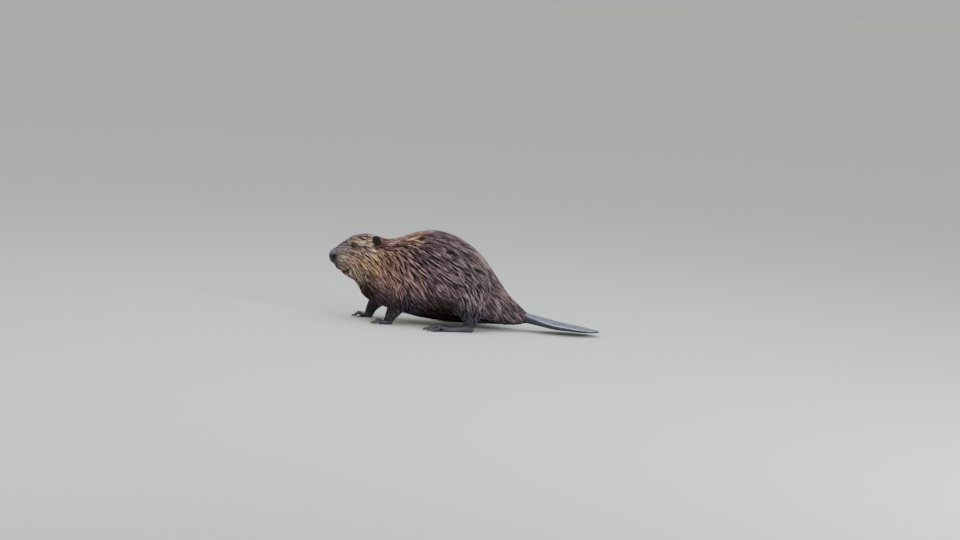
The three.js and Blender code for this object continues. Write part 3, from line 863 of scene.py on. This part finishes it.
def on_ears_and_their_shadow(points):
    """1 on each ear, and in the fur at its foot, whose dark is painted shadow of the ear."""
    masks = []
    for side in SIDES:
        lo, hi = (to_body([corner])[0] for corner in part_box(f"ear_{side}"))
        masks.append(1 - soft_step(reach_from(points, (lo + hi) / 2, (hi - lo) / 2), 0.9, 1.5))
    return np.maximum(*masks)


def on_lips(points):
    return (1 - soft_step(off_mouth(points), 2.4, 6.4)) * soft_step(-points[:, 0], 385, 394)


def on_band(points):
    """The streak behind the shoulder: paler golden hair, with a painted highlight on the shoulder's rear
    edge.
    """
    x, y, z = points.T
    middle = np.interp(z, [105, 150, 190, 225], [-120, -132, -143, -156])
    beside = np.exp(-(((x - middle) / 8) ** 2)) * soft_step(np.abs(y), 70, 95)
    return 0.5 * beside * soft_step(z, 115, 165) * (1 - soft_step(z, 205, 240))


def on_whisker_roots(points):
    return np.maximum.reduce([near(points, root, [1.9, 7, 1.9]) for root in WHISKER_ROOTS])


def on_belly(points):
    low = 1 - soft_step(height_share(points), 0.05, 0.48)
    return low * soft_step(points[:, 0], -335, -230)


def on_back(points):
    return soft_step(height_share(points), 0.35, 0.9) * soft_step(points[:, 0], -250, -120)


LIMBS = (FORE_LEG, FORE_FOOT, HIND_LEG, HIND_FOOT)
LIMB_TREE = label_finder({node: label for node, label in FLESH.items() if label in LIMBS})[0]


def on_lower_legs(points):
    gap = closest(LIMB_TREE, to_frame(points))[3] * 1000
    return (1 - soft_step(points[:, 2], 30, 110)) * (1 - soft_step(gap, 8, 26))


MARKINGS = {
    "neck": ("#78564b", on_neck),
    "head": ("#9f8578", on_head),
    "brow": ("#c9ad8a", spots((1.0, [-370, 36, 266], [36, 18, 10]), (1.0, [-338, 40, 276], [34, 20, 10]))),
    "head line": ("#54424f", spots(
        (0.8, [-398, 16, 271], [26, 13, 9]), (0.8, [-362, 16, 285], [30, 13, 8])
    )),
    # Painted sky reflection: a lilac-grey sheen on the fur over the crown and the nape.
    "crown": ("#9e7780", spots((0.9, [-372, 10, 288], [56, 30, 18]))),
    "nape": ("#a88086", spots(
        (0.8, [-318, 20, 290], [44, 50, 22]), (0.3, [-255, 40, 276], [54, 60, 30])
    )),
    # Painted sky reflection: grey-lilac over the top of the muzzle's bridge.
    "bridge": ("#928f9d", spots((1.0, [-430, 0, 250], [60, 62, 46]))),
    "cheek": ("#a67f5a", spots(
        (0.8, [-345, 52, 200], [60, 60, 48]), (0.8, [-300, 62, 190], [40, 50, 40])
    )),
    "below the ear": ("#bc966f", spots((0.9, [-302, 62, 232], [30, 36, 34]))),
    "temple": ("#8a7468", spots((0.8, [-345, 50, 245], [40, 40, 20]))),
    "muzzle": ("#c2b2a2", spots((1.0, [-414, 34, 204], [30, 30, 34]))),
    "nose edge": ("#5a5058", spots((0.85, [-447, 24, 203], [24, 36, 40]))),
    # Painted shade: dark grey on the front of the upper lip, under the nose.
    "front lip painted shade": ("#3b3634", spots(
        (1.0, [-452, 10, 172], [40, 60, 26]), (1.0, [-436, 14, 158], [36, 56, 20])
    )),
    "eye corner": ("#4b3a43", spots(
        (0.8, [-392, 34, 249], [13, 16, 7]), (0.5, [-366, 42, 251], [10, 14, 8])
    )),
    "whisker roots": ("#4a3f39", on_whisker_roots),
    "chin": ("#9c8164", spots((0.9, [-395, 16, 150], [28, 36, 16]))),
    # Dark throat fur, made near-black as painted shade under the head.
    "throat with painted shade": ("#181002", spots((1.0, [-330, 20, 112], [90, 140, 90]))),
    "back": ("#533d41", on_back),
    "withers": ("#a07452", spots((0.6, [-182, 50, 282], [50, 70, 30]))),
    "band": ("#8f6852", on_band),
    # Reddish hair over the rump's top, with painted rim light along it.
    "rump": ("#855f5c", spots((0.5, [50, 30, 245], [70, 60, 50]), (0.5, [140, 30, 130], [50, 50, 40]))),
    "hindquarters": ("#4a343a", spots(
        (0.75, [70, 120, 150], [110, 90, 80]), (0.8, [150, 60, 76], [70, 90, 64])
    )),
    "mid flank": ("#4c373a", spots((0.8, [-50, 140, 165], [110, 80, 70]))),
    "flank": ("#231712", spots((1.0, [-65, 138, 82], [150, 100, 84]))),
    # Dark belly fur, made near-black as painted shade under the body.
    "belly": ("#0e0908", on_belly),
    "legs": ("#4b454c", on_lower_legs),
    # Painted shadow: dark fur at the foot of each ear, under and behind it.
    "painted ear shadow": ("#1d1513", spots(
        (0.95, [-311, 54, 272], [14, 20, 16]), (0.9, [-272, 62, 259], [26, 26, 14])
    )),
    "ears and their painted shadow": ("#15100f", on_ears_and_their_shadow),
    # Dark lip skin and fur, with painted shade in the groove of the mouth.
    "lips": ("#1f1512", on_lips),
}
BODY_HUE = "#674c53"


def marked(tree):
    """The coat's colour at a place, from the markings on its mesh, painted light and shade among them."""
    colour = linear(BODY_HUE)
    for mask, (hue, _) in zip(attributes(tree, *MARKINGS), MARKINGS.values()):
        colour = add(tree, "Mix", {0: mask, 6: colour, 7: linear(hue)}, **RGBA)
    return colour


def guard_hair(name, roughness, gloss):
    """Guard hair: keratin with a soft shine along its length when damp; dark at the root as painted shade
    deep in the coat, and pale at the tip.
    """
    material, tree = new_material(name)
    along, across, tone_and_shade, strand, depth = attributes(tree, "along", "across", "tone_and_shade", "strand", "depth")
    place = add(tree, "CombineXYZ", {"X": across, "Y": along, "Z": strand})
    hairs = add(tree, "Mapping", {"Vector": place, "Scale": (11.0, 1.8, 90.0)})
    streaks = add(tree, "TexNoise", {"Vector": hairs, "Scale": 1.0, "Detail": 2.0})
    # Painted shade: each hair darkens towards its root, the more so where the coat is deep.
    root_shade = add(tree, "MapRange", {0: depth, 1: 1.5, 2: 5.0, 3: 0.62, 4: 0.10})
    rise = add(tree, "MapRange", {0: along, 1: 0.0, 2: 0.75, 3: root_shade, 4: 1.15})
    lowest = add(tree, "MapRange", {0: depth, 1: 1.5, 2: 5.0, 3: 0.24, 4: 0.05})
    highest = add(tree, "MapRange", {0: depth, 1: 1.5, 2: 5.0, 3: 3.3, 4: 6.4})
    bright = add(tree, "Math", {0: tone_and_shade, 1: 2.8}, operation="POWER")
    light = add(tree, "MapRange", {0: bright, 3: lowest, 4: highest})
    streak = add(tree, "MapRange", {0: streaks, 1: 0.25, 2: 0.75, 3: 0.5, 4: 1.5})
    both = add(tree, "Math", {0: rise, 1: light}, operation="MULTIPLY")
    factor = add(tree, "Math", {0: both, 1: streak}, operation="MULTIPLY")
    # Painted light: darker hair, standing for light that comes back from deep between the hairs, is made
    # redder, as light that has lost more of its green and blue; the brightest hair turns a little lilac as a
    # painted sheen.
    warm = add(tree, "Math", {0: factor, 1: 0.82}, operation="POWER")
    tint = add(tree, "CombineXYZ", {0: warm, 1: factor, 2: factor})
    colour = add(tree, "VectorMath", {0: marked(tree), 1: tint}, operation="MULTIPLY")
    bump = add(tree, "Bump", {"Height": streaks, "Strength": 0.35, "Distance": 0.0004})
    return finished(material, {
        "Base Color": colour,
        "Roughness": roughness,
        "IOR": 1.55,
        "Specular IOR Level": gloss,
        "Sheen Weight": 0.04,
        "Sheen Roughness": 0.4,
        "Sheen Tint": linear("#c9aca6"),
        "Normal": bump,
    })


def underfur():
    """Fine dense underfur: matt, the coat's own colour where it is short, and darkened deep in the long coat
    as painted shade under the guard hair.
    """
    material, tree = new_material("short underfur")
    place = add(tree, "TexCoord", out="Object")
    depth, nose, lit, rim = attributes(tree, "depth", "nose", "painted_nose_highlight", "rim")
    hairs = add(tree, "Mapping", {"Vector": place, "Scale": (260.0, 900.0, 900.0)})
    lie = add(tree, "TexNoise", {"Vector": hairs, "Scale": 1.0, "Detail": 3.0})
    shade = add(tree, "MapRange", {0: depth, 1: 1.5, 2: 7.0, 3: 0.5, 4: 0.12})
    mottle = add(tree, "MapRange", {0: lie, 1: 0.3, 2: 0.7, 3: 0.7, 4: 1.25})
    factor = add(tree, "Math", {0: shade, 1: mottle}, operation="MULTIPLY")
    fur = add(tree, "VectorMath", {0: marked(tree), "Scale": factor}, operation="SCALE")
    # The nose's bare skin is pebbled, a pebble to 0.9 mm.
    pebbles = add(tree, "TexVoronoi", {"Vector": place, "Scale": 1100.0}, feature="SMOOTH_F1")
    # Painted highlight: the nose is pale lilac-grey on top, as the sky's reflection, and near-black below.
    upper = add(tree, "Mix", {0: lit, 6: linear("#121013"), 7: linear("#686475")}, **RGBA)
    between = add(tree, "MapRange", {0: pebbles, 3: 1.1, 4: 0.7})
    nose_hue = add(tree, "VectorMath", {0: upper, "Scale": between}, operation="SCALE")
    with_nose = add(tree, "Mix", {0: nose, 6: fur, 7: nose_hue}, **RGBA)
    with_rim = add(tree, "Mix", {0: rim, 6: with_nose, 7: linear("#1a1416")}, **RGBA)
    bare = add(tree, "Math", {0: nose, 1: rim}, operation="MAXIMUM")
    grain = add(tree, "Mix", {0: nose, 2: lie, 3: pebbles})
    bump = add(tree, "Bump", {"Height": grain, "Strength": 0.5, "Distance": 0.0006})
    rough = add(tree, "MapRange", {0: bare, 3: 0.75, 4: 0.38})
    return finished(material, {
        "Base Color": with_rim,
        "Roughness": rough,
        "Specular IOR Level": 0.3,
        "Normal": bump,
    })


def scaly_skin(name, creases, plates, cell_mm, roughness):
    """Bare leathery skin cut into small plates by fine creases that stay darker than the plates."""
    material, tree = new_material(name)
    place = add(tree, "TexCoord", out="Object")
    warp = add(tree, "TexNoise", {"Vector": place, "Scale": 160.0, "Detail": 2.0}, out="Color")
    bent = add(tree, "VectorMath", {0: warp, 1: (0.0016, 0.0016, 0.0016), 2: place}, operation="MULTIPLY_ADD")
    cells = add(tree, "TexVoronoi", {"Vector": bent, "Scale": 1000 / cell_mm}, feature="DISTANCE_TO_EDGE")
    plate = add(tree, "MapRange", {0: cells, 1: 0.02, 2: 0.22})
    tones = add(tree, "TexNoise", {"Vector": place, "Scale": 45.0, "Detail": 3.0})
    hue = add(tree, "Mix", {0: tones, 6: linear(plates[0]), 7: linear(plates[1])}, **RGBA)
    colour = add(tree, "Mix", {0: plate, 6: linear(creases), 7: hue}, **RGBA)
    bump = add(tree, "Bump", {"Height": plate, "Strength": 0.6, "Distance": 0.0008})
    return finished(material, {"Base Color": colour, "Roughness": roughness, "Normal": bump})


def horn():
    """Claw: dark horn, polished by use and streaked along its length."""
    material, tree = new_material("claw horn")
    place = add(tree, "TexCoord", out="Object")
    streak = add(tree, "Mapping", {"Vector": place, "Scale": (60.0, 700.0, 700.0)})
    noise = add(tree, "TexNoise", {"Vector": streak, "Scale": 1.0, "Detail": 2.0})
    colour = add(tree, "Mix", {0: noise, 6: linear("#17130f"), 7: linear("#4a4038")}, **RGBA)
    bump = add(tree, "Bump", {"Height": noise, "Strength": 0.25, "Distance": 0.0003})
    return finished(material, {"Base Color": colour, "Roughness": 0.34, "Normal": bump})


def eye_material():
    """A wet eye: near-black brown iris round a black pupil, its cornea as smooth as water."""
    material, tree = new_material("wet eye")
    centre, = attributes(tree, "off_axis")
    edge = add(tree, "MapRange", {0: centre, 1: 0.38, 2: 0.5})
    iris = add(tree, "Mix", {0: edge, 6: linear("#030202"), 7: linear("#1a0d0c")}, **RGBA)
    outer = add(tree, "MapRange", {0: centre, 1: 0.8, 2: 1.0})
    colour = add(tree, "Mix", {0: outer, 6: iris, 7: linear("#070405")}, **RGBA)
    return finished(material, {
        "Base Color": colour,
        "Roughness": 0.05,
        "IOR": 1.38,
        "Specular IOR Level": 0.65,
    })


def make_eyes():
    material = eye_material()
    for side, sign in SIDES.items():
        lo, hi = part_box(f"eye_{side}")
        out = Vector(EYE_OUT * [1, sign, 1])
        place = Matrix.Translation((lo + hi) / 2) @ out.to_track_quat("Z", "Y").to_matrix().to_4x4()
        bm = bmesh.new()
        bmesh.ops.create_uvsphere(bm, u_segments=48, v_segments=28, radius=EYE_RADIUS / 1000, matrix=place)
        eye = new_object(f"eyeball_{side}", bm)
        radial = unit(positions(eye.data) - np.array((lo + hi) / 2))
        set_attribute(eye.data, "off_axis", np.arccos(np.clip(radial @ np.array(out), -1, 1)))
        eye.data.materials.append(material)
        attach(eye, "root")
        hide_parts(f"eye_{side}")


def make_claws():
    material = horn()
    for foot, nodes in CLAWS.items():
        claws = joined(f"{foot}_claws", [node_copy(node, 0.0002) for node in nodes])
        applied(claws, ("SUBSURF", {"levels": 2, "render_levels": 2}))
        claws.data.materials.append(material)
        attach(claws, "root")
        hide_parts(*nodes)


# ---- Tail scales and whiskers ----

TAIL_HALF_WIDTH = 66.0
TAIL_OUTLINE = (  # its half width by x, as a share of the greatest
    [197, 228, 268, 312, 359, 404, 435, 452, 459], [0.42, 0.55, 0.82, 0.98, 1, 0.88, 0.62, 0.34, 0.1],
)
SCALE_ACROSS = 4.4
SCALE_ALONG = 3.6
ROW_STEP = SCALE_ALONG * 0.84  # each row lies over the one behind
SOWN_REACH = 70.0  # millimetres to each side of the middle
RISE = [0.0] * 6 + [0.85] * 6 + [1.0, 0.0]  # of a scale's points: rim, shoulder, crown and root
CROWN_AT = 12  # the crown's place among them
SCALE_START = FUR_END_X - 6
SCALE_END = 458.0
TAIL_EDGE = 0.45  # scales stop where the skin turns down over the edge


def hexagon(share):
    return [(share * math.cos(a), share * math.sin(a)) for a in (math.pi / 3 * k for k in range(6))]


def make_tail_scales(ground):
    """Low six-sided plates in staggered rows over the top and the underside, each tipped up behind."""
    bm = bmesh.new()
    for way, start in ((-1, 130.0), (1, -50.0)):  # down on to the top, then up on to the underside
        row = 0
        x = SCALE_START
        while x < SCALE_END:
            y = -SOWN_REACH + (row % 2) * SCALE_ACROSS / 2
            while y < SOWN_REACH:
                hit, normal, face, _ = ground.tree.ray_cast(Vector((x, y, start)), Vector((0, 0, way)))
                if hit and abs(normal.z) > TAIL_EDGE:
                    add_scale(bm, ground, hit, face, way)
                y += SCALE_ACROSS
            row += 1
            x += ROW_STEP
    scales = new_object("tail_scales", bm)
    middles = to_body(positions(scales.data))[CROWN_AT::len(RISE)]
    normals = closest(ground.tree, middles)[1]
    set_attribute(scales.data, "rise", np.tile(RISE, len(middles)))
    for name, values in (
        ("side", painted_tail_shade(normals)),
        ("edge", painted_rim_highlight(middles)),
        ("own", rng.random(len(middles))),
    ):
        set_attribute(scales.data, name, np.repeat(values, len(RISE)))
    return scales


def scale_material():
    """Tail scales: horny skin, blue-grey and satin, paler on the crown of each and dark between, with a
    painted highlight along the tail's rims and painted shade on its sides and underside.
    """
    material, tree = new_material("horny tail scale")
    place = add(tree, "TexCoord", out="Object")
    rise, side, edge, own = attributes(tree, "rise", "side", "edge", "own")
    patches = add(tree, "TexNoise", {"Vector": place, "Scale": 38.0, "Detail": 4.0})
    grain = add(tree, "TexNoise", {"Vector": place, "Scale": 700.0, "Detail": 2.0})
    spread = add(tree, "MapRange", {0: patches, 1: 0.3, 2: 0.7, 3: 0.0, 4: 0.6})
    mixed = add(tree, "Math", {0: own, 1: 0.4, 2: spread}, operation="MULTIPLY_ADD")
    hue = add(tree, "Mix", {0: mixed, 6: linear("#41465c"), 7: linear("#9397b0")}, **RGBA)
    # Painted highlight: the tail's rims turn near-white.
    rim_highlight = add(tree, "Mix", {0: edge, 6: hue, 7: linear("#dcdde8")}, **RGBA)
    # Painted shade: the tail's sides and underside turn dark slate.
    under = add(tree, "Mix", {0: side, 6: rim_highlight, 7: linear("#32323f")}, **RGBA)
    colour = add(tree, "Mix", {0: rise, 6: linear("#2b2d38"), 7: under}, **RGBA)
    bump = add(tree, "Bump", {"Height": grain, "Strength": 0.3, "Distance": 0.0003})
    rough = add(tree, "MapRange", {0: grain, 3: 0.3, 4: 0.5})
    return finished(material, {
        "Base Color": colour,
        "Roughness": rough,
        "Normal": bump,
    })


def painted_tail_shade(normals):
    """1 where the tail turns down over its edge and underneath, darkened there as painted shade."""
    return 1 - soft_step(normals[:, 2], 0.6, 0.94)


def painted_rim_highlight(points):
    """1 along both rims of the tail, painted pale as a highlight where the rounded rims catch the light."""
    half = TAIL_HALF_WIDTH * np.interp(points[:, 0], *TAIL_OUTLINE)
    return soft_step(np.abs(points[:, 1]) / half, 0.74, 0.94)


def add_scale(bm, ground, hit, face, way):
    up = Vector(unit(ground.normals[ground.faces[face]].mean(0)[None])[0])
    if up.z * way > 0:
        return
    along = (Vector((1, 0, 0)) - up * up.x).normalized()
    across = up.cross(along)
    size = rng.uniform(0.92, 1.06)
    half = (SCALE_ALONG / 2 * size, SCALE_ACROSS / 2 * size)

    def place(share_along, share_across, height):
        spot = hit + along * share_along * half[0] + across * share_across * half[1] + up * height
        return bm.verts.new(to_frame([spot])[0])

    rim = [place(a, b * 1.1, -0.3) for a, b in hexagon(1.04)]
    crown = [place(a, b * 1.1, 0.25 + 0.22 * a) for a, b in hexagon(0.8)]
    middle = place(0.1, 0, 0.5)
    root = place(0, 0, -0.7)
    for k in range(6):
        after = (k + 1) % 6
        bm.faces.new((rim[k], rim[after], crown[after], crown[k]))
        bm.faces.new((crown[k], crown[after], middle))
        bm.faces.new((rim[after], rim[k], root))


def make_whiskers():
    """Stiff tapering whiskers from the pads beside the nose, swept out, back and down."""
    curve = bpy.data.curves.new("whiskers", "CURVE")
    curve.dimensions = "3D"
    curve.bevel_depth = 0.00032
    curve.bevel_resolution = 1
    curve.use_fill_caps = True
    for sign in SIDES.values():
        for number, root in enumerate(WHISKER_ROOTS):
            row, k = divmod(number, 4)
            length = rng.uniform(26, 44) * (0.8 + 0.12 * k)
            way = unit(np.array([[0.25 + 0.22 * k, 0.9, 0.12 - 0.22 * row]]) + rng.normal(0, 0.07, 3))[0]
            bend = np.array([0.35, -0.1, -0.45]) * length
            spline = curve.splines.new("POLY")
            spline.points.add(8)
            for i, point in enumerate(spline.points):
                share = i / 8
                spot = root + way * length * share + bend * share**2 * 0.6
                point.co = (*to_frame([spot * [1, sign, 1]])[0], 1)
                point.radius = 1 - 0.85 * share
    drawn = linked("whiskers", curve)
    shaped = bpy.data.meshes.new_from_object(drawn.evaluated_get(bpy.context.evaluated_depsgraph_get()))
    bpy.data.objects.remove(drawn)
    return linked("whiskers", shaped)


def whisker_material():
    """Whiskers: stiff smooth keratin."""
    material, tree = new_material("whisker keratin")
    place = add(tree, "TexCoord", out="Object")
    noise = add(tree, "TexNoise", {"Vector": place, "Scale": 90.0})
    colour = add(tree, "Mix", {0: noise, 6: linear("#1c1614"), 7: linear("#4a3f39")}, **RGBA)
    return finished(material, {"Base Color": colour, "Roughness": 0.5})


SKIN_SURFACES = [(HEAD, NECK, TRUNK, ROOT, FORE_LEG, HIND_LEG), (FORE_FOOT, HIND_FOOT), (TAIL,), (EAR,)]


def dress_skin(skin, regions, depth):
    """Gives each region of the skin its surface, and the marks that the surfaces read."""
    mesh = skin.data
    for material in (
        underfur(),
        scaly_skin("foot leather", "#1c1a20", ("#39353f", "#5b5563"), 2.2, 0.34),
        scaly_skin("tail leather", "#1b1d25", ("#333642", "#4a4e5c"), 2.6, 0.45),
        scaly_skin("ear leather", "#1b1615", ("#241d1b", "#342a27"), 1.0, 0.6),
    ):
        mesh.materials.append(material)
    surface = np.zeros(len(LABELS), np.int32)
    for index, labels in enumerate(SKIN_SURFACES):
        surface[list(labels)] = index
    mesh.polygons.foreach_set("material_index", surface[regions[triangles_of(mesh)[:, 0]]])
    points = to_body(positions(mesh))
    set_attribute(mesh, "depth", depth)
    set_attribute(mesh, "nose", soft_step(on_nose(points), 0.1, 0.8))
    # Painted highlight on the nose's top, where it faces the sky.
    set_attribute(mesh, "painted_nose_highlight", soft_step(points[:, 2], 207, 231))
    set_attribute(mesh, "rim", 1 - soft_step(eye_reach(points), 1.2, 1.5))
    for name, (_, marking) in MARKINGS.items():
        set_attribute(mesh, name, marking(points))


make_camera()
make_stage()
skin, finder, regions, edges, depth = make_skin()
dress_skin(skin, regions, depth)
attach(skin, "root")
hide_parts(*FLESH)
ground = Ground(skin.data, regions, finder, edges, depth)
make_eyes()
make_claws()
scales = make_tail_scales(ground)
scales.data.materials.append(scale_material())
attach(scales, "root")
whiskers = make_whiskers()
whiskers.data.materials.append(whisker_material())
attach(whiskers, "root")
make_coat(skin, ground)
